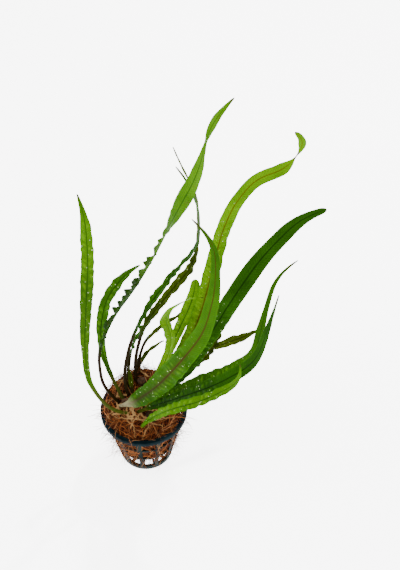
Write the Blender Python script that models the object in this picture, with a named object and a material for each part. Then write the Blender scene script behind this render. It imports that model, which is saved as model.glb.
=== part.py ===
# A potted aquarium plant: a slotted net pot, a plug of coconut fibre, three crowns
# and nineteen long strap leaves, all standing upright.
#
# Frame: origin at the centre of the pot's underside, +Z up, -Y is the plant's front.
# Every length is in millimetres until put() turns it into metres.

import bpy
import bmesh
from math import cos, floor, pi, radians, sin
from mathutils import Vector

MM = 0.001
GAP = 0.3

POT_HEIGHT = 45.0
RIM_RADIUS = 27.5
RIM_INNER_RADIUS = 25.2
LIP_DEPTH = 3.0
LIP_STEP = 0.6
HAIR = 0.01
WALL_TOP_RADIUS = 25.2
WALL_FOOT_RADIUS = 17.2
POT_WALL = 1.4
WINDOW_ROWS = ((39.8, 29.4), (28.0, 17.2), (15.8, 4.6))
BASE_SLOT = (14.2, 6.8)
RIB_COUNT = 12
COLUMNS_PER_RIB = 4
RIB_TURN = radians(-96.5)

PLUG_RADIUS = 22.8
PLUG_SIDES = 36
SURFACE_HEIGHT = 50.5
SURFACE_SLOPE = 0.24
SURFACE_MOUND = 1.5
# (radius, height) up the plug's side, then (radius, drop below its sloping top) in to the middle.
PLUG_SIDE = ((15.0, 14.0), (18.0, 15.5), (20.6, 30.0), (22.2, 40.0))
PLUG_TOP = ((22.8, 2.0), (21.2, 0.3), (16.0, 0.0), (10.0, 0.0), (4.5, 0.0))

PETIOLE_RADIUS = 1.15
TIP_PETIOLE_RADIUS = 0.45
BLADE_TOP = 0.2
BLADE_KEEL = 0.55
BLADE_SPREAD = 1.6
RING_SPACING = 4.5
FEWEST_RINGS = 8
WALK_PARTS = 4
ROOT_LIFT = 2.0
FACING = Vector((0.0, -0.7, 0.72))

# Each crown's x, y, radius and height, and its outline as (share of radius, share of height).
CROWNS = {
    "crown_left": (-10.6, -2.4, 3.0, 4.6),
    "crown_front": (4.2, -10.0, 2.6, 3.4),
    "crown_back": (-1.2, 11.2, 3.0, 4.8),
}
CROWN_OUTLINE = ((0.55, 0.0), (0.95, 0.18), (1.0, 0.42), (0.82, 0.7), (0.45, 0.93))
CROWN_SIDES = 12
CROWN_LOBES = 0.08

LIME = (0.20, 0.42, 0.03)
GREEN = (0.09, 0.30, 0.02)
DEEP = (0.04, 0.19, 0.015)
OLIVE = (0.13, 0.16, 0.03)

# How each leaf grows, from root to tip. "root" is its x, y on the plug and "length" its midrib.
# "headings" are evenly spread along it: degrees from upright to the right, and to the back.
# "widths" and "twists" are spread the same way: the blade's width, and its turn from FACING.
LEAVES = {
    "leaf_far_left": dict(
        colour=LIME, root=(-10, -9), length=165,
        headings=((-50, -15), (-23, 5), (0, 15), (6, 15), (6, 15), (0, 15), (-16, 20)),
        widths=(0, 2.5, 4, 6.5, 8, 7, 1.5), twists=(0, 0, 10, 10, -10)),
    "leaf_left_short": dict(
        colour=GREEN, root=(-13, 1), length=102,
        headings=((-28, 25), (-22, 25), (-2, 20), (14, 20), (38, 15), (58, 10)),
        widths=(0, 3, 5, 7, 7, 2), twists=(0, 10, 30)),
    "leaf_tall": dict(
        colour=LIME, root=(-16, -1), length=270,
        headings=((-30, 0), (0, 0), (20, 0), (25, -10), (21, -10), (18, -10), (20, -10), (9, -10),
                  (35, -5)),
        widths=(0, 0, 0, 2.5, 5, 6.5, 7.5, 7.5, 7, 5.5, 5.5, 8, 9, 7, 3.5, 4.5, 1.5),
        twists=(60, 65, 75, 75, 75, 65, 5, 30, 10)),
    "leaf_arched_dark": dict(
        colour=DEEP, root=(-10, 4), length=182,
        headings=((-10, 20), (12, 15), (25, 15), (36, 15), (38, 10), (2, 0), (-15, -5), (-28, -10)),
        widths=(0, 0, 3, 6, 5, 2, 2.5, 1), twists=(50, 50, 40, 60, 70, 40)),
    "leaf_thread_tip": dict(
        colour=OLIVE, root=(-5, 13), length=185,
        headings=((-3, 25), (14, 15), (36, 15), (40, 15), (6, 5), (-3, 0), (-20, -5), (-15, -10)),
        widths=(0, 2, 6, 6.5, 3, 3, 2, 1), twists=(20, 40, 30, 60, 60)),
    "leaf_ruffled_back": dict(
        colour=DEEP, root=(-9, 6), length=70,
        headings=((-10, 45), (10, 45), (40, 40), (55, 35), (35, 25)),
        widths=(0, 1.5, 5, 5, 1), twists=(65, 60)),
    "leaf_brown_back": dict(
        colour=OLIVE, root=(-4, 17), length=56,
        headings=((0, 55), (25, 50), (70, 40), (75, 30), (60, 25)),
        widths=(0, 1, 3, 3.5, 1), twists=(40, 40)),
    "leaf_rolled_small": dict(
        colour=OLIVE, root=(-4, 20), length=30,
        headings=((30, 60), (85, 60), (105, 50), (105, 45)),
        widths=(2, 3.5, 2.5, 1), twists=(40, 40)),
    "leaf_broad_front": dict(
        colour=GREEN, root=(-14, -4), length=195,
        headings=((35, -25), (30, -15), (25, -10), (25, -5), (10, 0), (0, 5), (-45, 15)),
        widths=(2, 11, 13, 11, 8, 5, 1), twists=(0, 0, 0, -30)),
    "leaf_lime_arch": dict(
        colour=LIME, root=(4, 3), length=211,
        headings=((37, 10), (31, 7), (26, 5), (21, 5), (16, 10), (12, 10), (11, 12), (13, 15), (22, 15),
                  (38, 15), (74, 12), (30, 5), (-45, -5)),
        widths=(0, 2.5, 5, 7, 8.5, 9, 9.5, 10, 10, 10, 10, 9.5, 9, 8.5, 8, 8, 7.5, 7, 7, 7, 6.5, 1, 4.5, 2),
        twists=(0, 0)),
    "leaf_right_deep": dict(
        colour=DEEP, root=(6, -2), length=180,
        headings=((33, -5), (29, -5), (22, 0), (26, 10), (34, 20), (50, 25), (85, 20)),
        widths=(0, 6, 8, 10, 10.5, 8.5, 3.5), twists=(0, 0)),
    "leaf_quilted": dict(
        colour=GREEN, root=(3, -4), length=162,
        headings=((32, -15), (43, -15), (48, -10), (43, -5), (7, 10), (15, 25), (70, 30)),
        widths=(0, 7, 11, 9, 6, 3, 1), twists=(0, 15, 20, 35, 30)),
    "leaf_front_dark": dict(
        colour=DEEP, root=(-2, -8), length=158,
        headings=((32, -20), (37, -20), (42, -15), (42, -5), (12, 5), (14, 20)),
        widths=(1.5, 6, 8.5, 8, 5, 1), twists=(20, 35, 30, 55)),
    "leaf_low_front": dict(
        colour=GREEN, root=(0, -17), length=116,
        headings=((15, -20), (28, -20), (47, -15), (45, -5), (-5, 0)),
        widths=(1.5, 5.5, 7, 6, 1.5), twists=(40, 35, 55)),
    "leaf_olive_right": dict(
        colour=OLIVE, root=(8, 13), length=78,
        headings=((55, 35), (75, 25), (95, 25), (90, 25), (65, 20)),
        widths=(0, 1, 4, 6.5, 1), twists=(40, 30)),
    "leaf_ruffled_right": dict(
        colour=OLIVE, root=(11, 8), length=70,
        headings=((62, 25), (78, 25), (45, 20), (10, 20), (20, 15)),
        widths=(0, 2, 5, 4.5, 1), twists=(50, 50)),
    "leaf_folded": dict(
        colour=GREEN, root=(0, 2), length=104,
        headings=((25, 0), (24, 0), (19, 0), (9, 0), (-15, 5), (52, 10), (98, 10)),
        widths=(0, 4, 5, 5.5, 8, 9, 1), twists=(170, 170, 165, 155, 135, 100, 70)),
    "leaf_yellow_green": dict(
        colour=LIME, root=(3, 5), length=94,
        headings=((30, 20), (20, 10), (20, 5), (5, 5)),
        widths=(0, 5, 6, 8, 5), twists=(0, 0)),
    "leaf_stub": dict(
        colour=OLIVE, root=(-7, 3), length=19,
        headings=((-5, 35), (-10, 30)), widths=(1.5, 3, 1), twists=(0, 0)),
}


def material(name, colour, roughness, metallic=0.0):
    made = bpy.data.materials.new(name)
    made.use_nodes = True
    shader = made.node_tree.nodes["Principled BSDF"]
    shader.inputs["Base Color"].default_value = (*colour, 1.0)
    shader.inputs["Roughness"].default_value = roughness
    shader.inputs["Metallic"].default_value = metallic
    return made


def put(name, points, faces, look, crease):
    # One closed object from points in millimetres, its faces turned outwards.
    mesh = bpy.data.meshes.new(name)
    mesh.from_pydata([Vector(p) * MM for p in points], [], faces)
    shape = bmesh.new()
    shape.from_mesh(mesh)
    bmesh.ops.recalc_face_normals(shape, faces=shape.faces)
    shape.to_mesh(mesh)
    shape.free()
    mesh.shade_smooth()
    mesh.set_sharp_from_angle(angle=radians(crease))
    mesh.materials.append(look)
    made = bpy.data.objects.new(name, mesh)
    bpy.context.collection.objects.link(made)
    return made


def wall_radius(height):
    # Outer radius of the pot's straight tapered wall.
    share = height / (POT_HEIGHT - LIP_DEPTH)
    return WALL_FOOT_RADIUS + (WALL_TOP_RADIUS - WALL_FOOT_RADIUS) * share


def pot_stations():
    # Pairs of outer and inner (radius, height), from the rim down and in to the base,
    # and the bands between two stations that are open between the ribs.
    lip_foot = POT_HEIGHT - LIP_DEPTH
    pairs = [
        ((RIM_RADIUS, POT_HEIGHT), (RIM_INNER_RADIUS, POT_HEIGHT)),
        ((RIM_RADIUS, lip_foot), (wall_radius(lip_foot) - POT_WALL + LIP_STEP, lip_foot)),
        ((wall_radius(lip_foot), lip_foot - HAIR), (wall_radius(lip_foot) - POT_WALL, lip_foot - LIP_STEP)),
    ]
    open_bands = set()
    for top, foot in WINDOW_ROWS:
        open_bands.add(len(pairs))
        for height in (top, foot):
            outer = wall_radius(height)
            pairs.append(((outer, height), (outer - POT_WALL, height)))
    pairs.append(((WALL_FOOT_RADIUS, 0.0), (wall_radius(POT_WALL) - POT_WALL, POT_WALL)))
    open_bands.add(len(pairs))
    for radius in BASE_SLOT:
        pairs.append(((radius, 0.0), (radius, POT_WALL)))
    return pairs, open_bands


def make_pot(look):
    pairs, open_bands = pot_stations()
    columns = RIB_COUNT * COLUMNS_PER_RIB
    points = []
    for side in range(2):
        for pair in pairs:
            radius, height = pair[side]
            for column in range(columns):
                angle = RIB_TURN + 2 * pi * (column - 0.5) / columns
                points.append((radius * cos(angle), radius * sin(angle), height))
    centres = (len(points), len(points) + 1)
    points += [(0, 0, 0), (0, 0, POT_WALL)]

    def corner(side, station, column):
        return (side * len(pairs) + station) * columns + column % columns

    def solid(band, column):
        return band not in open_bands or column % COLUMNS_PER_RIB == 0

    faces = []
    last = len(pairs) - 1
    for column in range(columns):
        after = column + 1
        faces.append((corner(0, 0, column), corner(0, 0, after), corner(1, 0, after), corner(1, 0, column)))
        for side in range(2):
            faces.append((corner(side, last, column), corner(side, last, after), centres[side]))
        for band in range(last):
            if not solid(band, column):
                continue
            for side in range(2):
                faces.append((corner(side, band, column), corner(side, band + 1, column),
                              corner(side, band + 1, after), corner(side, band, after)))
            for edge in (column, after):
                if not solid(band, edge if edge == after else column - 1):
                    faces.append((corner(0, band, edge), corner(0, band + 1, edge),
                                  corner(1, band + 1, edge), corner(1, band, edge)))
        for band in open_bands:
            if solid(band, column):
                continue
            for station in (band, band + 1):
                faces.append((corner(0, station, column), corner(0, station, after),
                              corner(1, station, after), corner(1, station, column)))
    return put("net_pot", points, faces, look, 35)


def surface_height(x, y):
    # The plug's top: it slopes up towards the back and swells slightly in the middle.
    return SURFACE_HEIGHT + SURFACE_SLOPE * y + SURFACE_MOUND * (1 - (x * x + y * y) / PLUG_RADIUS ** 2)


def circle(radius, sides):
    angles = [2 * pi * side / sides for side in range(sides)]
    return [(radius * cos(angle), radius * sin(angle)) for angle in angles]


def make_plug(look):
    points = []
    for radius, height in PLUG_SIDE:
        for x, y in circle(radius, PLUG_SIDES):
            points.append((x, y, height))
    for radius, drop in PLUG_TOP:
        for x, y in circle(radius, PLUG_SIDES):
            points.append((x, y, surface_height(x, y) - drop))
    ends = ((0, 0, PLUG_SIDE[0][1]), (0, 0, surface_height(0, 0)))
    return put_stack("coir_plug", points, PLUG_SIDES, ends, look, 50)


def put_stack(name, points, sides, ends, look, crease):
    # A closed body: rings of points joined row by row, and brought to a point at both ends.
    last = len(points) - sides
    faces = []
    for side in range(sides):
        after = (side + 1) % sides
        for row in range(0, last, sides):
            faces.append((row + side, row + after, row + sides + after, row + sides + side))
        faces.append((side, after, len(points)))
        faces.append((last + side, last + after, len(points) + 1))
    return put(name, [*points, *ends], faces, look, crease)


def make_crown(name, place, look):
    # A short rounded rhizome that stands on the plug, narrower at the top.
    x, y, radius, height = place
    foot = surface_height(x, y) + SURFACE_SLOPE * radius + GAP
    points = []
    for wide, high in CROWN_OUTLINE:
        for side in range(CROWN_SIDES):
            angle = 2 * pi * side / CROWN_SIDES
            reach = radius * wide * (1 + CROWN_LOBES * sin(3 * angle))
            points.append((x + reach * cos(angle), y + reach * sin(angle), foot + height * high))
    return put_stack(name, points, CROWN_SIDES, ((x, y, foot), (x, y, foot + height)), look, 60)


def spread(values, share):
    # The value at a share of the way along a list that is evenly spread from root to tip.
    place = min(share, 1.0) * (len(values) - 1)
    low = min(floor(place), len(values) - 2)
    ease = place - low
    ease = ease * ease * (3 - 2 * ease)
    return values[low] * (1 - ease) + values[low + 1] * ease


def heading(leaf, share):
    right = radians(spread([pair[0] for pair in leaf["headings"]], share))
    back = radians(spread([pair[1] for pair in leaf["headings"]], share))
    return Vector((sin(right) * cos(back), sin(back), cos(right) * cos(back)))


def midrib(leaf, rings):
    # The places of the midrib at each ring, walked from the root along the headings.
    x, y = leaf["root"]
    place = Vector((x, y, surface_height(x, y) + ROOT_LIFT))
    steps = rings * WALK_PARTS
    places = [place.copy()]
    for step in range(steps):
        place += heading(leaf, (step + 0.5) / steps) * leaf["length"] / steps
        if (step + 1) % WALK_PARTS == 0:
            places.append(place.copy())
    return places


def leaf_ring(leaf, centre, share):
    # Four points of the leaf's section: one edge, the upper face, the other edge, the keel.
    tangent = heading(leaf, share)
    flat_side = tangent.cross(FACING).normalized()
    flat_normal = flat_side.cross(tangent)
    twist = radians(spread(leaf["twists"], share))
    across = flat_side * cos(twist) + flat_normal * sin(twist)
    normal = across.cross(tangent)
    stalk = PETIOLE_RADIUS + (TIP_PETIOLE_RADIUS - PETIOLE_RADIUS) * share
    half = max(spread(leaf["widths"], share) / 2, stalk)
    blade = min((half - stalk) / BLADE_SPREAD, 1.0)
    upper = stalk + (BLADE_TOP - stalk) * blade
    keel = stalk + (BLADE_KEEL - stalk) * blade
    return [centre - across * half, centre + normal * upper, centre + across * half, centre - normal * keel]


def make_leaf(name, leaf, look):
    rings = max(FEWEST_RINGS, floor(leaf["length"] / RING_SPACING))
    places = midrib(leaf, rings)
    points = []
    for ring in range(1, rings):
        points += leaf_ring(leaf, places[ring], ring / rings)
    return put_stack(name, points, 4, (places[0], places[-1]), look, 40)


def main():
    for old in list(bpy.data.objects):
        bpy.data.objects.remove(old, do_unlink=True)
    make_pot(material("pot_plastic", (0.02, 0.05, 0.055), 0.35))
    make_plug(material("coir", (0.24, 0.07, 0.025), 0.9))
    for name, place in CROWNS.items():
        make_crown(name, place, material(name, (0.10, 0.055, 0.02), 0.7))
    for name, leaf in LEAVES.items():
        make_leaf(name, leaf, material(name, leaf["colour"], 0.4))


main()
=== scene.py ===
# A potted water plant: nineteen crinkled strap leaves, three crowns and a coir plug in a slotted net pot.
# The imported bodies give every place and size; here they get their real surfaces and finishes.
from math import cos, hypot, pi, radians, sin
import bmesh
import bpy
import numpy as np
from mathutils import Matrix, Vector


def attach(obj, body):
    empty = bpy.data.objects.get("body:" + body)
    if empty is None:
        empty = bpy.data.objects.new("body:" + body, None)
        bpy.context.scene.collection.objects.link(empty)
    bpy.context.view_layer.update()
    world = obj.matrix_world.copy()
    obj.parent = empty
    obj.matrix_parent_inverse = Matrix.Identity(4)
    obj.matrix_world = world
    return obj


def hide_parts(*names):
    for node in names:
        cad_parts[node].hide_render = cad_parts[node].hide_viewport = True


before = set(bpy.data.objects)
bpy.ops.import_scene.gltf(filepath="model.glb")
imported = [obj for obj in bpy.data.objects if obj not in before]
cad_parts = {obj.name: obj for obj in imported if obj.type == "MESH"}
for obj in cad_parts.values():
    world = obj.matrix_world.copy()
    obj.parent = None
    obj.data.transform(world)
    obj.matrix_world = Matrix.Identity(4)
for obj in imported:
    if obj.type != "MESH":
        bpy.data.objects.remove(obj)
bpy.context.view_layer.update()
mm = 0.001


class NodeSet:
    # Adds nodes to one tree. An input is a fixed value or another node's output.
    def __init__(self, tree):
        self.tree = tree
        tree.nodes.clear()

    def add(self, kind, inputs=None, out=0, **settings):
        node = self.tree.nodes.new(kind)
        for name, value in settings.items():
            setattr(node, name, value)
        for spot, value in (inputs or {}).items():
            if isinstance(spot, str):
                socket = next(s for s in node.inputs if s.name == spot and s.enabled)
            else:
                socket = node.inputs[spot]
            self.give(socket, value)
        return [s for s in node.outputs if s.enabled][out]

    def give(self, socket, value):
        if isinstance(value, bpy.types.NodeSocket):
            self.tree.links.new(value, socket)
        else:
            socket.default_value = value

    def math(self, operation, *values, clamp=False):
        return self.add("ShaderNodeMath", dict(enumerate(values)), operation=operation, use_clamp=clamp)

    def chained(self, operation, values):
        made = values[0]
        for value in values[1:]:
            made = self.math(operation, made, value)
        return made

    def times(self, *values):
        return self.chained("MULTIPLY", values)

    def plus(self, *values):
        return self.chained("ADD", values)

    def centred(self, share):
        return self.plus(share, -0.5)

    def vector(self, operation, *values):
        return self.add("ShaderNodeVectorMath", dict(enumerate(values)), operation=operation)

    def scaled(self, vector, amount):
        return self.add("ShaderNodeVectorMath", {0: vector, "Scale": amount}, operation="SCALE")

    def joined(self, x=0.0, y=0.0, z=0.0):
        return self.add("ShaderNodeCombineXYZ", {0: x, 1: y, 2: z})

    def between(self, value, low, high, newLow=0.0, newHigh=1.0):
        return self.add("ShaderNodeMapRange", {0: value, 1: low, 2: high, 3: newLow, 4: newHigh},
                        interpolation_type="SMOOTHSTEP")

    def blend(self, share, first, second, kind="RGBA"):
        return self.add("ShaderNodeMix", {"Factor": share, "A": first, "B": second}, data_type=kind)

    def noise(self, where, scale, detail=2.0, rough=0.5, warp=0.0, out=0):
        return self.add("ShaderNodeTexNoise", {0: where, 2: scale, 3: detail, 4: rough, 8: warp}, out=out)

    def noiseAlong(self, place, detail=1.0):
        return self.add("ShaderNodeTexNoise", {1: place, 2: 1.0, 3: detail}, noise_dimensions="1D")

    def wander(self, where, scale):
        # A sideways push that changes smoothly from place to place.
        return self.vector("SUBTRACT", self.noise(where, scale, 2.0, out=1), (0.5, 0.5, 0.5))

    def random(self, low, high, seed):
        return self.add("FunctionNodeRandomValue", {2: low, 3: high, 8: seed}, data_type="FLOAT")

    def read(self, name, kind="FLOAT"):
        return self.add("GeometryNodeInputNamedAttribute", {0: name}, data_type=kind)

    def store(self, geometry, name, value, domain="POINT"):
        inputs = {"Geometry": geometry, "Name": name, "Value": value}
        return self.add("GeometryNodeStoreNamedAttribute", inputs, data_type="FLOAT", domain=domain)

    def own(self, name):
        # A number that the mesh carries, read in a material.
        return self.add("ShaderNodeAttribute", attribute_name=name, out=2)

    def objectPlace(self):
        return self.add("ShaderNodeTexCoord", out=3)

    def bump(self, strength, depth, height):
        return self.add("ShaderNodeBump", {0: strength, 1: depth * mm, 3: height})

    def surface(self, base, rough, specular, more):
        inputs = {"Base Color": base, "Roughness": rough, "Specular IOR Level": specular, **more}
        return self.add("ShaderNodeBsdfPrincipled", inputs)


socketKinds = {"Geometry": "NodeSocketGeometry", "look": "NodeSocketMaterial", "core": "NodeSocketObject",
               "seed": "NodeSocketInt"}


def newShaper(name, inputNames):
    # An empty Geometry Nodes group with named inputs; returns its nodes and the inputs' sockets.
    tree = bpy.data.node_groups.new(name, "GeometryNodeTree")
    for inputName in ["Geometry", *inputNames, "look"]:
        tree.interface.new_socket(name=inputName, in_out="INPUT",
                                  socket_type=socketKinds.get(inputName, "NodeSocketFloat"))
    tree.interface.new_socket(name="Geometry", in_out="OUTPUT", socket_type="NodeSocketGeometry")
    nodes = NodeSet(tree)
    entry = tree.nodes.new("NodeGroupInput")
    return nodes, {socket.name: socket for socket in entry.outputs if socket.name}


def closeShaper(nodes, geometry, look):
    smooth = nodes.add("GeometryNodeSetShadeSmooth", {0: geometry})
    plain = nodes.add("GeometryNodeRealizeInstances", {0: smooth})
    finished = nodes.add("GeometryNodeSetMaterial", {"Geometry": plain, "Material": look})
    leave = nodes.tree.nodes.new("NodeGroupOutput")
    nodes.tree.links.new(finished, leave.inputs[0])
    return nodes.tree


def tubed(nodes, curves, radius, sides):
    ring = nodes.add("GeometryNodeCurvePrimitiveCircle", {0: sides, 4: 1.0})
    return nodes.add("GeometryNodeCurveToMesh", {"Curve": curves, "Profile Curve": ring, "Scale": radius,
                                                 "Fill Caps": True})


def linked(name, data):
    # A new object at the origin, in the scene.
    made = bpy.data.objects.new(name, data)
    bpy.context.scene.collection.objects.link(made)
    return made


def shaped(name, mesh, tree, values):
    # Runs a shaper on a mesh and keeps the result as a plain mesh object.
    made = linked(name, mesh)
    modifier = made.modifiers.new("shape", "NODES")
    modifier.node_group = tree
    for item in tree.interface.items_tree:
        if item.in_out == "INPUT" and item.name in values:
            modifier[item.identifier] = values[item.name]
    bpy.context.view_layer.update()
    depsgraph = bpy.context.evaluated_depsgraph_get()
    result = bpy.data.meshes.new_from_object(made.evaluated_get(depsgraph))
    made.modifiers.clear()
    made.data = result
    return made


def reworked(mesh, work):
    # Lets one bmesh step change a mesh.
    shape = bmesh.new()
    shape.from_mesh(mesh)
    work(shape)
    shape.to_mesh(mesh)
    shape.free()
    return mesh


def cleaned(node):
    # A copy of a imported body's mesh with its double points merged.
    mesh = reworked(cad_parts[node].data.copy(),
                    lambda shape: bmesh.ops.remove_doubles(shape, verts=shape.verts, dist=1e-6))
    mesh.materials.clear()
    return mesh


def sized(values, names):
    # The values with the named ones turned from millimetres into metres.
    return {name: value * mm if name in names else value for name, value in values.items()}


def place(piece, slotName, *nodes):
    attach(piece, "root")
    if nodes:
        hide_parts(*nodes)


def newLook(name):
    look = bpy.data.materials.new(name)
    look.use_nodes = True
    return look, NodeSet(look.node_tree)


def finishLook(nodes, shader):
    leave = nodes.tree.nodes.new("ShaderNodeOutputMaterial")
    nodes.tree.links.new(shader, leave.inputs["Surface"])


def colour(red, green, blue):
    return (red, green, blue, 1.0)


# The camera's eye is in millimetres and its pitch in degrees below level; the floor and lights are in metres.
sceneView = dict(
    eye=(35.5, -353.3, 537.3), pitch=47.0, lens=60.0, sensor=36.0, nearest=0.01,
    floorSize=14.0, floorDrop=0.2, floorGlow=5.0, floorRoughness=0.9,
    floorTones=(colour(0.90, 0.90, 0.90), colour(0.95, 0.95, 0.95)), worldLight=1.9,
    lights=dict(
        keyLight=dict(power=15.0, size=0.8, spot=(-0.7, -0.3, 1.3), target=(0.02, 0.0, 0.12)),
        fillLight=dict(power=8.0, size=0.9, spot=(0.9, -0.9, 1.0), target=(0.02, 0.0, 0.12)),
        glintLight=dict(power=16.0, size=0.06, spot=(0.35, 0.65, 0.95), target=(0.02, 0.0, 0.15))))


def floorLook():
    look, nodes = newLook("paleFloor")
    cloud = nodes.noise(nodes.objectPlace(), 3.0, 2.0)
    base = nodes.blend(cloud, *sceneView["floorTones"])
    finishLook(nodes, nodes.surface(base, sceneView["floorRoughness"], 0.1, {
        "Emission Color": base, "Emission Strength": sceneView["floorGlow"]}))
    return look


def buildCamera():
    data = bpy.data.cameras.new("camera")
    data.lens = sceneView["lens"]
    data.sensor_width = sceneView["sensor"]
    data.clip_start = sceneView["nearest"]
    camera = linked("camera", data)
    camera.location = Vector(sceneView["eye"]) * mm
    camera.rotation_euler = (radians(90.0 - sceneView["pitch"]), 0.0, 0.0)
    bpy.context.scene.camera = camera


def buildFloor():
    half = sceneView["floorSize"] / 2
    low = -sceneView["floorDrop"] * mm
    mesh = bpy.data.meshes.new("floor")
    corners = [(-half, -half, low), (half, -half, low), (half, half, low), (-half, half, low)]
    mesh.from_pydata(corners, [], [(0, 1, 2, 3)])
    mesh.materials.append(floorLook())
    linked("floor", mesh)


def buildLights():
    world = bpy.data.worlds.new("studio")
    world.use_nodes = True
    background = world.node_tree.nodes["Background"]
    background.inputs["Color"].default_value = colour(1.0, 1.0, 1.0)
    background.inputs["Strength"].default_value = sceneView["worldLight"]
    bpy.context.scene.world = world
    for name, kind in sceneView["lights"].items():
        data = bpy.data.lights.new(name, "AREA")
        data.energy = kind["power"]
        data.size = kind["size"]
        light = linked(name, data)
        light.location = kind["spot"]
        facing = Vector(kind["target"]) - Vector(kind["spot"])
        light.rotation_euler = facing.to_track_quat("-Z", "Y").to_euler()


buildCamera()
buildFloor()
buildLights()
print("stage: camera, floor and lights")


# Lengths in millimetres, angles in degrees. The rim's tone takes over between the two rim heights.
potKind = dict(edgeRound=0.22, roundSteps=2, flatAngle=1.0, sharpAngle=28.0, rimHeights=(40.5, 42.5),
               ribSheenTones=(colour(0.0016, 0.0036, 0.0036), colour(0.0065, 0.0125, 0.0115)),
               rimTones=(colour(0.001, 0.0032, 0.0042), colour(0.0035, 0.010, 0.0125)),
               scratchTone=colour(0.008, 0.013, 0.0125), dustTone=colour(0.012, 0.007, 0.0035),
               roughness=(0.3, 0.55), specular=0.004, bumpStrength=0.35, bumpDepth=0.15)


def potLook():
    # Moulded plastic, nearly black at the rim; the ribs' greyer tone is a painted sheen.
    look, nodes = newLook("potPlastic")
    where = nodes.objectPlace()
    height = nodes.add("ShaderNodeSeparateXYZ", {0: where}, out=2)
    cloud = nodes.noise(where, 55.0, 4.0, 0.6)
    grain = nodes.noise(where, 1500.0, 2.0, 0.5)
    scratch = nodes.noise(nodes.vector("MULTIPLY", where, (900.0, 900.0, 60.0)), 1.0, 3.0, 0.6)
    ribSheenTone = nodes.blend(nodes.between(cloud, 0.35, 0.68), *potKind["ribSheenTones"])
    rimTone = nodes.blend(nodes.between(cloud, 0.35, 0.68), *potKind["rimTones"])
    low, high = potKind["rimHeights"]
    # The ribs' lighter tone is a painted sheen; the rim keeps the darker tone.
    base = nodes.blend(nodes.between(height, low * mm, high * mm), ribSheenTone, rimTone)
    base = nodes.blend(nodes.between(scratch, 0.64, 0.76, 0.0, 0.4), base, potKind["scratchTone"])
    dust = nodes.times(nodes.between(cloud, 0.5, 0.7), nodes.between(grain, 0.45, 0.6), 0.25)
    base = nodes.blend(dust, base, potKind["dustTone"])
    rough = nodes.between(nodes.plus(cloud, nodes.times(scratch, 0.5)), 0.4, 1.1, *potKind["roughness"])
    height = nodes.plus(nodes.times(grain, 0.5), scratch)
    bump = nodes.bump(potKind["bumpStrength"], potKind["bumpDepth"], height)
    finishLook(nodes, nodes.surface(base, rough, potKind["specular"], {"Normal": bump}))
    return look


def buildPot():
    flat = radians(potKind["flatAngle"])
    mesh = reworked(cleaned("net_pot"), lambda shape: bmesh.ops.dissolve_limit(
        shape, angle_limit=flat, verts=shape.verts, edges=shape.edges))
    mesh.shade_smooth()
    mesh.materials.append(potLook())
    pot = linked("netPot", mesh)
    rounding = pot.modifiers.new("soft edges", "BEVEL")
    rounding.width = potKind["edgeRound"] * mm
    rounding.segments = potKind["roundSteps"]
    rounding.limit_method = "ANGLE"
    rounding.angle_limit = radians(potKind["sharpAngle"])
    rounding.harden_normals = True
    place(pot, "net_pot", "net_pot")


buildPot()
print("net pot: rim, ribs and windows")


# Coconut fibre: what all of it shares, then the dark, middle and light tones of each kind. The roots
# carry no tone of their own, so they stay at the first one, under the light specks.
coirFinish = dict(speckleScale=700.0, roughness=(0.6, 0.9), specular=0.05, bumpStrength=0.6, bumpDepth=0.2)
coirTones = dict(
    # The core's tones are darker than the strands': painted shade deep among the fibres.
    coirCore=(colour(0.004, 0.0010, 0.0004), colour(0.016, 0.0034, 0.0010), colour(0.040, 0.011, 0.0035)),
    coirRust=(colour(0.006, 0.0010, 0.0003), colour(0.052, 0.0075, 0.0015), colour(0.27, 0.088, 0.022)),
    coirPale=(colour(0.035, 0.010, 0.003), colour(0.13, 0.042, 0.011), colour(0.30, 0.15, 0.06)),
    rootSkin=(colour(0.20, 0.11, 0.04), colour(0.20, 0.11, 0.04), colour(0.48, 0.34, 0.18)))


def coirLook(name):
    # Each strand has its own tone, with lighter dust along it.
    look, nodes = newLook(name)
    dark, middle, light = coirTones[name]
    tone = nodes.own("tone")
    speckle = nodes.noise(nodes.objectPlace(), coirFinish["speckleScale"], 3.0, 0.65)
    base = nodes.blend(nodes.between(tone, 0.0, 0.55), dark, middle)
    base = nodes.blend(nodes.between(tone, 0.6, 1.0), base, light)
    base = nodes.blend(nodes.between(speckle, 0.58, 0.8, 0.0, 0.3), base, light)
    rough = nodes.between(speckle, 0.2, 0.8, *coirFinish["roughness"])
    bump = nodes.bump(coirFinish["bumpStrength"], coirFinish["bumpDepth"], speckle)
    finishLook(nodes, nodes.surface(base, rough, coirFinish["specular"], {"Normal": bump}))
    return look


# Heights and sizes of the lumps and crumbs on the core and the crowns, in millimetres.
bodyBuild = dict(divisions=3, crumbScale=1100.0)
bodyKinds = dict(core=dict(lumpHeight=1.6, lumpSize=4.0, crumbHeight=0.9),
                 crown=dict(lumpHeight=1.1, lumpSize=1.6, crumbHeight=0.4))
crownFinish = dict(tones=(colour(0.008, 0.0035, 0.0012), colour(0.034, 0.015, 0.005)),
                   scarTone=colour(0.06, 0.035, 0.014), rings=(60.0, 60.0, 700.0), scarScale=420.0,
                   roughness=0.62, specular=0.08, bumpStrength=0.7, bumpDepth=0.4)


def crownLook():
    # Dark bark in thin level rings, with paler leaf scars.
    look, nodes = newLook("crownSkin")
    where = nodes.objectPlace()
    ringed = nodes.noise(nodes.vector("MULTIPLY", where, crownFinish["rings"]), 1.0, 3.0, 0.6)
    scars = nodes.noise(where, crownFinish["scarScale"], 4.0, 0.65, 0.4)
    base = nodes.blend(nodes.between(ringed, 0.35, 0.65), *crownFinish["tones"])
    base = nodes.blend(nodes.between(scars, 0.55, 0.75, 0.0, 0.7), base, crownFinish["scarTone"])
    bump = nodes.bump(crownFinish["bumpStrength"], crownFinish["bumpDepth"], nodes.plus(ringed, scars))
    finishLook(nodes, nodes.surface(base, crownFinish["roughness"], crownFinish["specular"],
                                    {"Normal": bump}))
    return look


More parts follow.
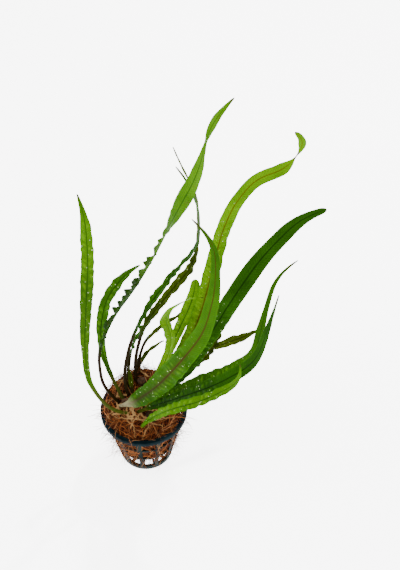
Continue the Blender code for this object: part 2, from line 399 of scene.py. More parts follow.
def roughShaper():
    nodes, given = newShaper("roughBody", ["lumpHeight", "lumpSize", "crumbHeight"])
    fine = nodes.add("GeometryNodeSubdivideMesh", {0: given["Geometry"], 1: bodyBuild["divisions"]})
    where = nodes.add("GeometryNodeInputPosition")
    out = nodes.add("GeometryNodeInputNormal")
    lumps = nodes.noise(where, nodes.math("DIVIDE", 1.0, given["lumpSize"]), 3.0)
    crumbs = nodes.noise(where, bodyBuild["crumbScale"], 3.0, 0.7)
    lift = nodes.plus(nodes.times(nodes.centred(lumps), given["lumpHeight"]),
                      nodes.times(nodes.centred(crumbs), given["crumbHeight"]))
    moved = nodes.add("GeometryNodeSetPosition", {"Geometry": fine, "Offset": nodes.scaled(out, lift)})
    toned = nodes.store(moved, "tone", nodes.times(lumps, 0.5))
    return closeShaper(nodes, toned, given["look"])


def buildBodies():
    # Makes the fibre core and the crowns, and hands on the core for the fibres to lie on.
    tree = roughShaper()
    lengths = ("lumpHeight", "lumpSize", "crumbHeight")
    values = dict(sized(bodyKinds["core"], lengths), look=coirLook("coirCore"))
    made = shaped("coirCore", cleaned("coir_plug"), tree, values)
    place(made, "coir_plug", "coir_plug")
    values = dict(sized(bodyKinds["crown"], lengths), look=crownLook())
    for node in ("crown_left", "crown_front", "crown_back"):
        crown = shaped(node.replace("crown_", "crown") + "Body", cleaned(node), tree, values)
        place(crown, node, node)
    return made


core = buildBodies()
print("rough bodies: fibre core and three crowns")


# Strands a square metre, then millimetres. standUp is in radians, and hug is how closely a strand follows
# the core.
coirStrands = dict(
    coirWrap=dict(density=360000.0, strandLength=15.0, strandRadius=0.17, bend=7.0, hug=1.0, lift=1.0,
                  standUp=0.0, seed=3),
    coirTangle=dict(density=210000.0, strandLength=18.0, strandRadius=0.13, bend=10.0, hug=0.72, lift=2.4,
                    standUp=0.35, seed=8),
    coirHairs=dict(density=150000.0, strandLength=11.0, strandRadius=0.095, bend=4.0, hug=0.0, lift=0.0,
                   standUp=1.15, seed=21))
strandBuild = dict(points=9, sides=3, shortest=0.45, longest=1.4, thinnest=0.35, shift=30.0, bendScale=90.0,
                   riseScale=240.0)


def strandShaper():
    # Strands laid over the core: thrown on it at random, bent, then drawn back to just above its surface.
    nodes, given = newShaper("coirStrands", ["density", "strandLength", "strandRadius", "bend", "hug", "lift",
                                             "standUp", "seed"])
    spread = nodes.tree.nodes.new("GeometryNodeDistributePointsOnFaces")
    nodes.give(spread.inputs["Mesh"], given["Geometry"])
    nodes.give(spread.inputs["Density"], given["density"])
    nodes.give(spread.inputs["Seed"], given["seed"])
    line = nodes.add("GeometryNodeCurvePrimitiveLine", {0: (0.0, 0.0, 0.0), 1: (1.0, 0.0, 0.0)})
    line = nodes.add("GeometryNodeResampleCurve", {"Curve": line, "Count": strandBuild["points"]})
    tilt = nodes.random(0.0, 1.0, 11)
    turn = nodes.random(-pi, pi, 12)
    size = nodes.random(strandBuild["shortest"], strandBuild["longest"], 13)
    raised = nodes.times(tilt, nodes.times(given["standUp"], -1.0))
    local = nodes.add("FunctionNodeEulerToRotation", {0: nodes.joined(0.0, raised, turn)})
    turned = nodes.add("FunctionNodeRotateRotation", {0: spread.outputs["Rotation"], 1: local},
                       rotation_space="LOCAL")
    sizes = nodes.times(size, given["strandLength"])
    strands = nodes.add("GeometryNodeInstanceOnPoints", {
        "Points": spread.outputs["Points"], "Instance": line, "Rotation": turned,
        "Scale": nodes.joined(sizes, sizes, sizes)})
    strands = nodes.store(strands, "tone", nodes.random(0.0, 1.0, 14), domain="INSTANCE")
    curves = nodes.add("GeometryNodeRealizeInstances", {0: strands})
    where = nodes.add("GeometryNodeInputPosition")
    share = nodes.add("GeometryNodeSplineParameter")
    tone = nodes.read("tone")
    shift = nodes.scaled(nodes.joined(tone, tone, tone), strandBuild["shift"] * mm)
    shifted = nodes.vector("ADD", where, shift)
    bend = nodes.times(given["bend"], nodes.math("POWER", share, 0.7))
    bent = nodes.vector("ADD", where, nodes.scaled(nodes.wander(shifted, strandBuild["bendScale"]), bend))
    nearest = nodes.add("GeometryNodeProximity", {"Geometry": given["Geometry"], "Sample Position": bent},
                        target_element="FACES")
    up = nodes.add("GeometryNodeSampleNearestSurface", {
        "Mesh": given["Geometry"], "Value": nodes.add("GeometryNodeInputNormal"), "Sample Position": bent},
        data_type="FLOAT_VECTOR")
    rise = nodes.plus(nodes.times(nodes.noise(shifted, strandBuild["riseScale"], 1.0), 1.6), -0.35)
    laid = nodes.vector("ADD", nearest, nodes.scaled(up, nodes.times(rise, given["lift"])))
    final = nodes.blend(given["hug"], bent, laid, "VECTOR")
    curves = nodes.add("GeometryNodeSetPosition", {"Geometry": curves, "Position": final})
    ends = nodes.between(share, 0.75, 1.0, 1.0, strandBuild["thinnest"])
    radius = nodes.times(given["strandRadius"], ends, nodes.plus(0.6, nodes.times(tone, 0.8)))
    return closeShaper(nodes, tubed(nodes, curves, radius, strandBuild["sides"]), given["look"])


def buildStrands():
    tree = strandShaper()
    rust, pale = coirLook("coirRust"), coirLook("coirPale")
    for name, kind in coirStrands.items():
        values = sized(kind, ("strandLength", "strandRadius", "bend", "lift"))
        values["look"] = pale if name == "coirHairs" else rust
        place(shaped(name, core.data.copy(), tree, values), "coir_plug")


buildStrands()
print("coir: wrapped strands, tangle and hairs")


# Each path goes from an angle and radius on the plug to another, in degrees and millimetres; the last number
# is how far it drops. The guides start above the plug, and the roots are then drawn down onto it.
rootPaths = dict(
    radius=0.6, sway=6.0, lift=2.0, startHeight=57.5, slope=0.2, guidePoints=5, points=40, sides=7,
    swayScale=160.0, knotScale=500.0, paths=(
        (200, 10, 252, 21, 1), (215, 9, 285, 17, 0), (190, 12, 205, 24, 9), (230, 8, 262, 24, 7),
        (250, 6, 305, 22, 3), (170, 12, 188, 23, 2), (265, 8, 240, 24, 14), (285, 7, 330, 23, 5),
        (305, 6, 350, 22, 2), (225, 14, 196, 24, 16), (300, 9, 268, 24, 10), (30, 12, 60, 23, 6),
        (80, 14, 110, 23, 10), (120, 13, 150, 23, 5), (340, 12, 20, 23, 9), (245, 12, 215, 22, 0),
        (275, 12, 312, 20, 0)))


def rootShaper():
    nodes, given = newShaper("rootPath", ["rootRadius", "sway", "lift", "core"])
    curves = nodes.add("GeometryNodeMeshToCurve", {0: given["Geometry"]})
    curves = nodes.add("GeometryNodeCurveSplineType", {0: curves}, spline_type="BEZIER")
    curves = nodes.add("GeometryNodeCurveSetHandles", {0: curves}, handle_type="AUTO")
    curves = nodes.add("GeometryNodeResampleCurve", {"Curve": curves, "Count": rootPaths["points"]})
    where = nodes.add("GeometryNodeInputPosition")
    share = nodes.add("GeometryNodeSplineParameter")
    sway = nodes.scaled(nodes.wander(where, rootPaths["swayScale"]), given["sway"])
    bent = nodes.vector("ADD", where, sway)
    body = nodes.add("GeometryNodeObjectInfo", {"Object": given["core"]}, out=4)
    nearest = nodes.add("GeometryNodeProximity", {"Geometry": body, "Sample Position": bent},
                        target_element="FACES")
    up = nodes.vector("NORMALIZE", nodes.vector("SUBTRACT", bent, nearest))
    laid = nodes.vector("ADD", nearest, nodes.scaled(up, given["lift"]))
    final = nodes.blend(nodes.between(share, 0.7, 1.0, 1.0, 0.4), bent, laid, "VECTOR")
    curves = nodes.add("GeometryNodeSetPosition", {"Geometry": curves, "Position": final})
    knots = nodes.plus(0.8, nodes.times(nodes.noise(where, rootPaths["knotScale"], 1.0), 0.4))
    radius = nodes.times(given["rootRadius"], nodes.between(share, 0.1, 1.0, 1.0, 0.3), knots)
    return closeShaper(nodes, tubed(nodes, curves, radius, rootPaths["sides"]), given["look"])


def buildRoots():
    points, edges = [], []
    for startAngle, startRadius, endAngle, endRadius, drop in rootPaths["paths"]:
        for step in range(rootPaths["guidePoints"]):
            part = step / (rootPaths["guidePoints"] - 1)
            angle = radians(startAngle + (endAngle - startAngle) * part)
            radius = startRadius + (endRadius - startRadius) * part
            height = rootPaths["startHeight"] + rootPaths["slope"] * radius * sin(angle) - drop * part * part
            if step:
                edges.append((len(points) - 1, len(points)))
            points.append(Vector((radius * cos(angle), radius * sin(angle), height)) * mm)
    mesh = bpy.data.meshes.new("rootGuides")
    mesh.from_pydata(points, edges, [])
    values = dict(rootRadius=rootPaths["radius"] * mm, sway=rootPaths["sway"] * mm,
                  lift=rootPaths["lift"] * mm, core=core, look=coirLook("rootSkin"))
    place(shaped("roots", mesh, rootShaper(), values), "coir_plug")


buildRoots()
print("roots: over and down the plug")


leafTones = {
    "fresh": dict(deep=colour(0.015, 0.058, 0.0002), light=colour(0.062, 0.160, 0.0005),
                  vein=colour(0.008, 0.036, 0.0004), edge=colour(0.030, 0.11, 0.001),
                  under=colour(0.08, 0.19, 0.002), crestHighlight=colour(0.11, 0.24, 0.002)),
    "lime": dict(deep=colour(0.032, 0.10, 0.0003), light=colour(0.11, 0.24, 0.0008),
                 vein=colour(0.012, 0.055, 0.0005), edge=colour(0.035, 0.12, 0.001),
                 under=colour(0.11, 0.23, 0.003), crestHighlight=colour(0.12, 0.26, 0.002)),
    "green": dict(deep=colour(0.007, 0.036, 0.0002), light=colour(0.032, 0.105, 0.0004),
                  vein=colour(0.004, 0.022, 0.0004), edge=colour(0.025, 0.095, 0.001),
                  under=colour(0.04, 0.12, 0.003), crestHighlight=colour(0.07, 0.19, 0.002)),
    "deep": dict(deep=colour(0.004, 0.022, 0.0002), light=colour(0.018, 0.080, 0.0004),
                 vein=colour(0.002, 0.012, 0.0003), edge=colour(0.018, 0.07, 0.001),
                 under=colour(0.03, 0.09, 0.008), crestHighlight=colour(0.04, 0.13, 0.002)),
    "olive": dict(deep=colour(0.009, 0.016, 0.0004), light=colour(0.048, 0.080, 0.001),
                  vein=colour(0.007, 0.009, 0.001), edge=colour(0.045, 0.045, 0.004),
                  under=colour(0.05, 0.075, 0.01), crestHighlight=colour(0.075, 0.11, 0.005)),
}
stalkTones = dict(green=colour(0.030, 0.085, 0.003), brown=colour(0.012, 0.0045, 0.0018),
                  pale=colour(0.22, 0.19, 0.11), olive=colour(0.030, 0.034, 0.004))
# Depths, widths and the veins' lean are in millimetres; a scale is how often a pattern repeats in a metre.
leafSkin = dict(paintedShadeTone=colour(0.003, 0.016, 0.0006), paintedGlintTone=colour(0.33, 0.40, 0.20),
                spotTone=colour(0.05, 0.04, 0.004), tornTone=colour(0.04, 0.02, 0.004),
                threadTone=colour(0.03, 0.03, 0.006), threadWidths=(0.9, 0.5),
                veinScale=190.0, veinLean=3.5, glintSpeckScale=480.0, glintSpeckPatches=300.0, spotScale=150.0,
                tornScale=90.0, roughness=(0.28, 0.5), specular=0.004, coat=0.02, coatRoughness=0.06,
                bumpStrength=0.45, bumpDepth=0.25, seeThrough=0.24, glowHue=0.485, glowDepth=1.1,
                glowValue=1.7)


def leafLook(name, tone, stalk, rib, paintedShade):
    look, nodes = newLook(name)
    shades = leafTones[tone]
    fieldNames = ("across", "along", "share", "blade", "pillow", "crisp", "half", "face")
    across, along, share, blade, pillow, crisp, half, face = (nodes.own(field) for field in fieldNames)
    inward = nodes.math("ABSOLUTE", across)
    where = nodes.objectPlace()
    streaks = nodes.noise(nodes.joined(nodes.times(across, 5.0), nodes.times(along, 45.0)), 3.0, 4.0, 0.6)
    broad = nodes.noise(where, 38.0, 3.0, 0.55)
    grain = nodes.noise(where, 900.0, 2.0, 0.6)
    mottle = nodes.plus(nodes.times(nodes.centred(streaks), 0.9), nodes.times(nodes.centred(broad), 1.5))
    base = nodes.blend(nodes.math("ADD", mottle, 0.45, clamp=True), shades["deep"], shades["light"])
    # Fine side veins run up and out from the midrib, over the raised cells between them.
    lean = nodes.plus(along, nodes.times(inward, -leafSkin["veinLean"] * mm))
    sideVein = nodes.add("ShaderNodeTexWave", {
        0: nodes.joined(lean), 1: leafSkin["veinScale"], 2: 1.6, 3: 2.0, 4: 2.0}, bands_direction="X", out=1)
    veinShare = nodes.times(nodes.between(sideVein, 0.72, 1.0), nodes.between(inward, 0.08, 0.2), blade, 0.32)
    base = nodes.blend(veinShare, base, shades["vein"])
    # Painted highlight: the crests of the raised cells are lighter.
    base = nodes.blend(nodes.between(pillow, 0.4, 1.2, 0.0, 0.38), base, shades["crestHighlight"])
    edgePlace = nodes.plus(inward, nodes.times(streaks, 0.1))
    base = nodes.blend(nodes.times(nodes.between(edgePlace, 0.84, 1.02), blade, 0.75), base, shades["edge"])
    if rib:
        blush = nodes.times(nodes.between(inward, 0.6, 0.0), nodes.between(share, 0.8, 0.1), streaks, 1.1)
        base = nodes.blend(nodes.math("MINIMUM", blush, 0.8), base, rib)
    base = nodes.blend(nodes.times(nodes.between(inward, 0.13, 0.03), 0.85), base, rib or shades["vein"])
    base = nodes.blend(nodes.between(face, -0.1, -0.6, 0.0, 0.2), base, shades["under"])
    # Painted shade: the lower part of the leaf is darker.
    depth, paintedShadeEnd = paintedShade
    shadow = nodes.times(nodes.between(share, paintedShadeEnd - 0.25, paintedShadeEnd, depth, 0.0),
                         nodes.between(streaks, 0.2, 0.8, 1.1, 0.8))
    base = nodes.blend(shadow, base, leafSkin["paintedShadeTone"])
    # Painted glints: pale specks along the raised cells stand in for highlights.
    cells = nodes.add("ShaderNodeTexVoronoi", {0: where, 2: leafSkin["glintSpeckScale"]})
    picked = nodes.between(nodes.noise(where, leafSkin["glintSpeckPatches"], 2.0), 0.5, 0.56)
    paintedGlints = nodes.times(nodes.between(cells, 0.21, 0.12), picked, crisp, nodes.between(inward, 0.06, 0.14),
                         nodes.between(inward, 0.95, 0.8), 0.85)
    base = nodes.blend(paintedGlints, base, leafSkin["paintedGlintTone"])
    # Tired spots, then the brown of torn edges, the stalk and the bare thread.
    spots = nodes.between(nodes.noise(where, leafSkin["spotScale"], 3.0, 0.6, 0.6), 0.67, 0.74, 0.0, 0.5)
    base = nodes.blend(nodes.times(spots, blade), base, leafSkin["spotTone"])
    tornPlaces = nodes.between(nodes.noise(where, leafSkin["tornScale"], 2.0), 0.56, 0.66)
    torn = nodes.times(nodes.between(inward, 0.9, 1.0), tornPlaces, 0.75)
    base = nodes.blend(torn, base, leafSkin["tornTone"])
    stalkShare = nodes.math("MAXIMUM", nodes.between(blade, 0.55, 0.05), nodes.between(share, 0.14, 0.03))
    base = nodes.blend(nodes.times(stalkShare, 0.9), base, stalkTones[stalk])
    wide, narrow = leafSkin["threadWidths"]
    thread = nodes.times(nodes.between(half, wide * mm, narrow * mm), nodes.between(share, 0.5, 0.6), 0.85)
    base = nodes.blend(thread, base, leafSkin["threadTone"])
    rough = nodes.between(nodes.plus(streaks, nodes.times(grain, 0.4)), 0.3, 1.1, *leafSkin["roughness"])
    height = nodes.plus(nodes.times(streaks, 0.5), nodes.times(grain, 0.35), nodes.times(sideVein, 0.3))
    bump = nodes.bump(leafSkin["bumpStrength"], leafSkin["bumpDepth"], height)
    skin = nodes.surface(base, rough, leafSkin["specular"], {
        "Normal": bump, "Coat Weight": leafSkin["coat"], "Coat Roughness": leafSkin["coatRoughness"]})
    glow = nodes.add("ShaderNodeHueSaturation", {
        "Hue": leafSkin["glowHue"], "Saturation": leafSkin["glowDepth"], "Value": leafSkin["glowValue"],
        "Color": base})
    through = nodes.add("ShaderNodeBsdfTranslucent", {0: glow})
    finishLook(nodes, nodes.add("ShaderNodeMixShader", {0: leafSkin["seeThrough"], 1: skin, 2: through}))
    return look


# Lengths in millimetres: how each leaf's card is divided, and where the stalk gives way to the blade.
leafBuild = dict(ringSpacing=0.62, fewestRings=40, acrossCount=15, rootDepth=3.0, stalkRadius=1.15,
                 stalkTaper=0.6, bladeStart=1.2, tipStart=(0.2, 0.4), pinchLength=0.02, crispRise=0.06,
                 crispFall=0.12)
# Shares that set the form of the ruffle, the lobes, the raised cells, the fold and the midrib.
leafForm = dict(ragged=0.8, even=0.45, calmest=0.1, lobes=2.4, cellLean=0.75, cellJitter=1.1, foldCurve=1.4,
                leastFold=0.25, ribEnd=0.25, edgeThinning=0.75, groove=0.45, ridge=0.55)
leafLengths = ("ruffleHeight", "ruffleLength", "quiltHeight", "quiltLength", "bladeThickness", "ribHeight",
               "ribWidth")
leafShares = ("ruffleReach", "scallop", "fold", "seed")
# Millimetres and shares. crisp is the stretch, as shares of the leaf's length, that is ruffled and quilted.
# gloom is how dark the painted shade on the lower part is and the share where that ends; pinch is where a
# leaf narrows and by how much.
leafDefaults = dict(ruffleHeight=0.9, ruffleLength=8.0, ruffleReach=1.8, scallop=0.12, quiltHeight=0.5,
                    quiltLength=4.6, fold=0.18, bladeThickness=0.34, ribHeight=0.55, ribWidth=0.75,
                    crisp=(0.06, 0.7), tip=5.0, tone="green", stalk="green", rib=None, paintedShade=(0.45, 0.45),
                    breadth=1.0, pinch=(0.5, 0.0))
leafKinds = {
    "leaf_far_left": dict(tone="fresh", stalk="olive", ruffleHeight=0.75, ruffleLength=7.0, scallop=0.1,
                          quiltHeight=0.3, paintedShade=(0.5, 0.8), crisp=(0.05, 0.95), tip=7.0, seed=1),
    "leaf_left_short": dict(tone="green", stalk="olive", ruffleHeight=1.0, crisp=(0.05, 0.9), tip=6.0,
                            seed=2),
    "leaf_tall": dict(tone="fresh", stalk="brown", ruffleHeight=2.1, ruffleLength=8.5, ruffleReach=1.3,
                      fold=0.6, crisp=(0.1, 0.6), paintedShade=(0.95, 0.68), breadth=0.85, pinch=(0.895, 0.5),
                      tip=6.0, seed=3),
    "leaf_arched_dark": dict(tone="deep", stalk="brown", ruffleHeight=1.1, ruffleReach=1.4, scallop=0.2,
                             crisp=(0.1, 0.6), seed=4),
    "leaf_thread_tip": dict(tone="olive", stalk="brown", ruffleHeight=1.2, ruffleLength=7.5, ruffleReach=1.4,
                            scallop=0.22, crisp=(0.1, 0.6), seed=5),
    "leaf_ruffled_back": dict(tone="deep", stalk="brown", ruffleHeight=1.8, ruffleLength=6.0, ruffleReach=1.1,
                              scallop=0.3, crisp=(0.1, 1.0), seed=6),
    "leaf_brown_back": dict(tone="olive", stalk="brown", ruffleHeight=1.1, ruffleLength=6.0, scallop=0.25,
                            crisp=(0.1, 1.0), seed=7),
    "leaf_rolled_small": dict(tone="olive", stalk="brown", ruffleHeight=0.7, fold=0.6, crisp=(0.1, 1.0),
                              seed=8),
    "leaf_broad_front": dict(tone="green", stalk="pale", rib=colour(0.028, 0.012, 0.002), ruffleHeight=1.0,
                             fold=0.22, quiltLength=3.8, crisp=(0.03, 0.5), ribWidth=0.9, seed=9),
    "leaf_lime_arch": dict(tone="lime", stalk="brown", rib=colour(0.055, 0.035, 0.002), quiltHeight=1.0,
                           quiltLength=4.0, fold=0.15, crisp=(0.05, 0.68), ribWidth=0.8, pinch=(0.92, 0.4),
                           seed=10),
    "leaf_right_deep": dict(tone="deep", quiltHeight=0.8, crisp=(0.05, 0.55), tip=4.0, seed=11),
    "leaf_quilted": dict(tone="green", ruffleHeight=1.2, quiltHeight=0.75, quiltLength=4.2, fold=0.3,
                         crisp=(0.03, 0.55), seed=12),
    "leaf_front_dark": dict(tone="deep", stalk="olive", ruffleHeight=1.0, quiltHeight=0.6, fold=0.42,
                            crisp=(0.03, 0.55), seed=13),
    "leaf_low_front": dict(tone="fresh", quiltHeight=0.45, fold=0.2, paintedShade=(0.3, 0.3), crisp=(0.03, 0.75),
                           seed=14),
    "leaf_olive_right": dict(tone="olive", ruffleHeight=1.1, crisp=(0.1, 0.9), seed=15),
    "leaf_ruffled_right": dict(tone="olive", stalk="brown", ruffleHeight=1.9, ruffleLength=6.5,
                               ruffleReach=1.1, scallop=0.3, crisp=(0.1, 1.0), seed=16),
    "leaf_folded": dict(tone="lime", ruffleHeight=0.8, fold=0.2, crisp=(0.05, 0.8), seed=17),
    "leaf_yellow_green": dict(tone="lime", quiltHeight=0.7, crisp=(0.03, 0.9), tip=3.0, seed=18),
    "leaf_stub": dict(tone="olive", stalk="brown", ruffleHeight=0.4, fold=0.5, crisp=(0.3, 1.0), seed=19),
}


def unit(vector):
    return vector / np.linalg.norm(vector)


def sectionCorners(node):
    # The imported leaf's two end points, and the two pairs of facing corners of each section between them.
    shape = bmesh.new()
    shape.from_mesh(cleaned(node))
    first = min(shape.verts, key=lambda v: v.co.z + 0.5 * hypot(v.co.x, v.co.y))
    seen, level, rings = {first}, [first], []
    while level:
        rings.append(level)
        level = list(dict.fromkeys(e.other_vert(v) for v in level for e in v.link_edges))
        level = [v for v in level if v not in seen]
        seen.update(level)
    ends = (np.array(rings[0][0].co), np.array(rings[-1][0].co))
    pairs = []
    for ring in rings[1:-1]:
        beside = {e.other_vert(ring[0]) for e in ring[0].link_edges}
        facing = next(v for v in ring[1:] if v not in beside)
        others = [v for v in ring[1:] if v is not facing]
        pairs.append([(np.array(a.co), np.array(b.co)) for a, b in ((ring[0], facing), others)])
    shape.free()
    return ends, pairs


def readRings(node):
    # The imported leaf's sections from root to tip: midrib, direction across, upper side and half width.
    ends, pairs = sectionCorners(node)
    widest = int(np.argmax([max(np.linalg.norm(b - a) for a, b in pair) for pair in pairs]))
    edges, faces = sorted(pairs[widest], key=lambda pair: -np.linalg.norm(pair[1] - pair[0]))
    middle = (edges[0] + edges[1]) / 2
    if np.linalg.norm(faces[0] - middle) < np.linalg.norm(faces[1] - middle):
        faces = faces[::-1]
    found = {widest: (edges, faces)}
    # From the widest section outwards, each section's corners are matched to those of the one before.
    for order in (range(widest + 1, len(pairs)), range(widest - 1, -1, -1)):
        lastEdges, lastFaces = edges, faces
        for index in order:
            before = lastEdges[1] - lastEdges[0]
            options = [(pair, other) for pair, other in (pairs[index], pairs[index][::-1])]
            options += [(pair[::-1], other) for pair, other in options]
            lastEdges, side = max(options, key=lambda o: np.dot(unit(o[0][1] - o[0][0]), before))
            if np.dot(side[1] - side[0], lastFaces[1] - lastFaces[0]) < 0:
                side = side[::-1]
            lastFaces = side
            found[index] = (lastEdges, lastFaces)
    ordered = [found[index] for index in range(len(pairs))]
    centre = [ends[0], *[(e[0] + e[1]) / 2 for e, f in ordered], ends[1]]
    across = [e[1] - e[0] for e, f in ordered]
    upper = [f[1] - f[0] for e, f in ordered]
    half = [np.linalg.norm(a) / 2 for a in across]
    across = [unit(a) for a in (across[0], *across, across[-1])]
    upper = [unit(u) for u in (upper[0], *upper, upper[-1])]
    half = [half[0], *half, half[-1] * 0.8]
    return np.array(centre), np.array(across), np.array(upper), np.array(half)[:, None]


def eased(values, count):
    # Values at evenly spread places along a smooth curve through the given ones.
    where = np.linspace(0, len(values) - 1, count)
    low = np.minimum(where.astype(int), len(values) - 2)
    part = (where - low)[:, None]
    padded = np.concatenate([2 * values[:1] - values[1:2], values, 2 * values[-1:] - values[-2:-1]])
    a, b, c, d = (padded[low + i] for i in range(4))
    return b + 0.5 * part * (c - a + part * (2 * a - 5 * b + 4 * c - d + part * (3 * (b - c) + d - a)))


def leafCourse(node, kind):
    # Evenly spread stations along the midrib: where each is, how it is turned, and how the leaf is there.
    centre, across, upper, half = readRings(node)
    centre[0] = centre[0] - unit(centre[1] - centre[0]) * leafBuild["rootDepth"] * mm
    length = np.linalg.norm(np.diff(centre, axis=0), axis=1).sum()
    count = max(leafBuild["fewestRings"], int(length / (leafBuild["ringSpacing"] * mm)))
    centre, across, upper, half = (eased(v, count) for v in (centre, across, upper, half))
    along = np.concatenate([[0.0], np.cumsum(np.linalg.norm(np.diff(centre, axis=0), axis=1))])
    share = along / along[-1]
    tangent = np.gradient(centre, axis=0)
    tangent /= np.linalg.norm(tangent, axis=1)[:, None]
    across -= tangent * (across * tangent).sum(1)[:, None]
    across /= np.linalg.norm(across, axis=1)[:, None]
    normal = np.cross(across, tangent)
    normal *= np.sign((normal * upper).sum(1))[:, None]
    stalk = leafBuild["stalkRadius"] * (1 - leafBuild["stalkTaper"] * share) * mm
    # blade is 0 on the stalk and 1 where the leaf is a full blade.
    widest = share[np.argmax(half[:, 0])]
    tipFrom, tipOver = leafBuild["tipStart"]
    blade = np.where(share < widest, (half[:, 0] - stalk) / (leafBuild["bladeStart"] * mm),
                     (half[:, 0] - tipFrom * mm) / (tipOver * mm))
    where, depth = kind["pinch"]
    narrow = 1 - depth * np.exp(-((share - where) / leafBuild["pinchLength"]) ** 2)
    half = half * kind["breadth"] * narrow[:, None]
    tipEase = np.clip((along[-1] - along) / (kind["tip"] * mm), 0, 1)
    half = half[:, 0] * np.sqrt(np.clip(1 - (1 - tipEase) ** 2, 0, 1))
    low, high = kind["crisp"]
    rise, fall = leafBuild["crispRise"], leafBuild["crispFall"]
    crisp = np.clip((share - low) / rise, 0, 1) * np.clip((high + fall - share) / (2 * fall), 0, 1)
    crisp = crisp * crisp * (3 - 2 * crisp)
    numbers = dict(along=along, share=share, half=half, blade=np.clip(blade, 0, 1), crisp=crisp, stalk=stalk)
    return centre, numbers, dict(acrossWay=across, upWay=normal)


def leafCard(node, kind):
    # A closed flat sleeve along the midrib; each point knows its place on the leaf.
    centre, numbers, ways = leafCourse(node, kind)
    acrossCount = leafBuild["acrossCount"]
    top = np.sin(np.linspace(-pi / 2, pi / 2, acrossCount))
    section = np.concatenate([top, top[-2:0:-1]])
    side = np.concatenate([np.zeros(1), np.ones(acrossCount - 2), np.zeros(1), -np.ones(acrossCount - 2)])
    perRing = len(section)
    inner = len(centre) - 2

    def everywhere(values):
        return np.concatenate([values[:1], np.repeat(values[1:-1], perRing, axis=0), values[-1:]])

    def around(values):
        return np.concatenate([[0.0], np.tile(values, inner), [0.0]])

    points = everywhere(centre)
    faces = []
    for ring in range(inner - 1):
        row = 1 + ring * perRing
        for spot in range(perRing):
            after = (spot + 1) % perRing
            faces.append((row + spot, row + after, row + perRing + after, row + perRing + spot))
    lastRow, lastPoint = 1 + (inner - 1) * perRing, len(points) - 1
    for spot in range(perRing):
        after = (spot + 1) % perRing
        faces.append((0, 1 + after, 1 + spot))
        faces.append((lastPoint, lastRow + spot, lastRow + after))
    mesh = bpy.data.meshes.new(node + "Card")
    mesh.from_pydata(points.tolist(), [], faces)
    fields = {name: everywhere(values) for name, values in numbers.items()}
    fields.update(across=around(section), face=around(side))
    for name, values in fields.items():
        mesh.attributes.new(name, "FLOAT", "POINT").data.foreach_set("value", values.astype(np.float32))
    for name, values in ways.items():
        flat = everywhere(values).astype(np.float32).ravel()
        mesh.attributes.new(name, "FLOAT_VECTOR", "POINT").data.foreach_set("vector", flat)
    return mesh


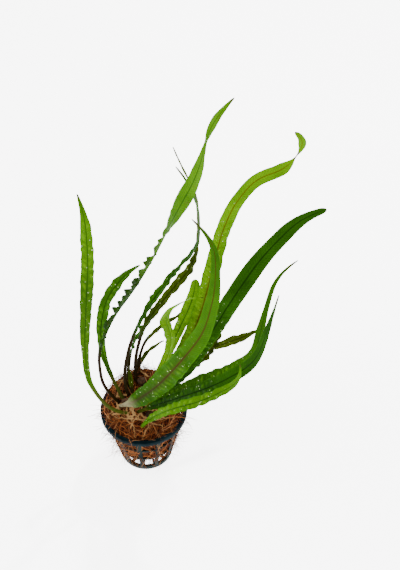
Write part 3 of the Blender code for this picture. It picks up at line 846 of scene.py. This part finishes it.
def leafShaper():
    # The leaf's surface: ruffled margins, rows of raised cells, a grooved midrib and a round stalk.
    nodes, given = newShaper("leafSurface", [*leafLengths, *leafShares])
    fieldNames = ("along", "share", "half", "blade", "crisp", "stalk", "across", "face")
    along, share, half, blade, crisp, stalk, across, face = (nodes.read(name) for name in fieldNames)
    acrossWay = nodes.read("acrossWay", "FLOAT_VECTOR")
    upWay = nodes.read("upWay", "FLOAT_VECTOR")
    outward = nodes.math("ABSOLUTE", across)
    margin = nodes.math("SIGN", across)
    crinkle = nodes.times(crisp, blade)
    # Each margin has its own run of waves, part ragged and part even.
    waves = nodes.math("DIVIDE", along, given["ruffleLength"])
    marginPlace = nodes.plus(nodes.times(given["seed"], 7.31), nodes.times(margin, 3.7), waves)
    ragged = nodes.times(nodes.centred(nodes.noiseAlong(marginPlace, 1.5)), 3.0)
    drift = nodes.times(nodes.noiseAlong(nodes.times(marginPlace, 0.4)), 9.0)
    even = nodes.math("SINE", nodes.plus(nodes.times(waves, 2 * pi), nodes.times(margin, 1.4), drift))
    ripple = nodes.plus(nodes.times(ragged, leafForm["ragged"]), nodes.times(even, leafForm["even"]))
    reach = nodes.math("POWER", outward, given["ruffleReach"])
    calmest = leafForm["calmest"]
    strength = nodes.plus(nodes.times(crinkle, 1.0 - calmest), nodes.times(blade, calmest))
    ruffle = nodes.times(ripple, given["ruffleHeight"], reach, strength)
    lobes = nodes.noiseAlong(nodes.plus(nodes.times(marginPlace, 1.3), 40.0), 2.0)
    widen = nodes.plus(1.0, nodes.times(nodes.centred(lobes), given["scallop"], leafForm["lobes"], crinkle))
    width = nodes.times(half, widen)
    # Raised cells lie in rows between side veins that lean towards the tip.
    lean = nodes.plus(along, nodes.times(width, outward, -leafForm["cellLean"]))
    jitterPlace = nodes.plus(nodes.times(along, 120.0), nodes.times(margin, 9.0))
    jitter = nodes.times(nodes.noiseAlong(jitterPlace), leafForm["cellJitter"])
    cellPlace = nodes.plus(nodes.math("DIVIDE", lean, given["quiltLength"]), jitter,
                           nodes.times(margin, 0.27))
    cell = nodes.math("ABSOLUTE", nodes.math("SINE", nodes.times(cellPlace, pi)))
    hump = nodes.math("SINE", nodes.times(nodes.math("POWER", outward, 0.8), pi))
    pillow = nodes.times(nodes.math("POWER", cell, 0.8), hump, crinkle)
    patch = nodes.noise(nodes.joined(nodes.times(along, 150.0), across, given["seed"]), 1.0, 1.0)
    pillow = nodes.times(pillow, nodes.between(patch, 0.25, 0.65, 0.25, 1.25))
    raised = nodes.times(pillow, given["quiltHeight"])
    leastFold = leafForm["leastFold"]
    cupped = nodes.times(given["fold"], width, nodes.math("POWER", outward, leafForm["foldCurve"]), blade,
                         nodes.plus(nodes.times(crisp, 1.0 - leastFold), leastFold))
    ribGap = nodes.math("DIVIDE", nodes.times(across, half), given["ribWidth"])
    ribShape = nodes.math("EXPONENT", nodes.times(ribGap, ribGap, -1.0))
    ribFade = nodes.between(share, 0.0, 1.0, 1.0, leafForm["ribEnd"])
    ribLine = nodes.times(ribShape, given["ribHeight"], blade, ribFade)
    thinning = nodes.plus(1.0, nodes.times(nodes.math("POWER", outward, 4.0), -leafForm["edgeThinning"]))
    thin = nodes.times(given["bladeThickness"], 0.5, thinning)
    stalkRound = nodes.times(stalk, nodes.math("SQRT", nodes.plus(1.0, nodes.times(outward, outward, -1.0))))
    stalkRound = nodes.math("MINIMUM", stalkRound, half)
    body = nodes.blend(blade, stalkRound, thin, "FLOAT")
    # The midrib is a groove above and a ridge below.
    below = nodes.math("LESS_THAN", face, -0.5)
    ribLift = nodes.times(ribLine, nodes.plus(-leafForm["groove"], nodes.times(below, -leafForm["ridge"])))
    height = nodes.plus(ruffle, raised, cupped, ribLift, nodes.times(body, face))
    sideways = nodes.scaled(acrossWay, nodes.times(width, across))
    moved = nodes.vector("ADD", sideways, nodes.scaled(upWay, height))
    surface = nodes.add("GeometryNodeSetPosition", {"Geometry": given["Geometry"], "Offset": moved})
    return closeShaper(nodes, nodes.store(surface, "pillow", pillow), given["look"])


def buildLeaves():
    tree = leafShaper()
    for node, own in leafKinds.items():
        kind = {**leafDefaults, **own}
        values = sized({name: kind[name] for name in (*leafLengths, *leafShares)}, leafLengths)
        finish = (kind[name] for name in ("tone", "stalk", "rib", "paintedShade"))
        values["look"] = leafLook(node.replace("leaf_", "skin_"), *finish)
        leaf = shaped(node.replace("leaf_", "strap_"), leafCard(node, kind), tree, values)
        reworked(leaf.data, lambda shape: bmesh.ops.recalc_face_normals(shape, faces=shape.faces))
        place(leaf, node, node)
        print("leaf:", node, len(leaf.data.polygons))


buildLeaves()
print("leaves: nineteen straps")
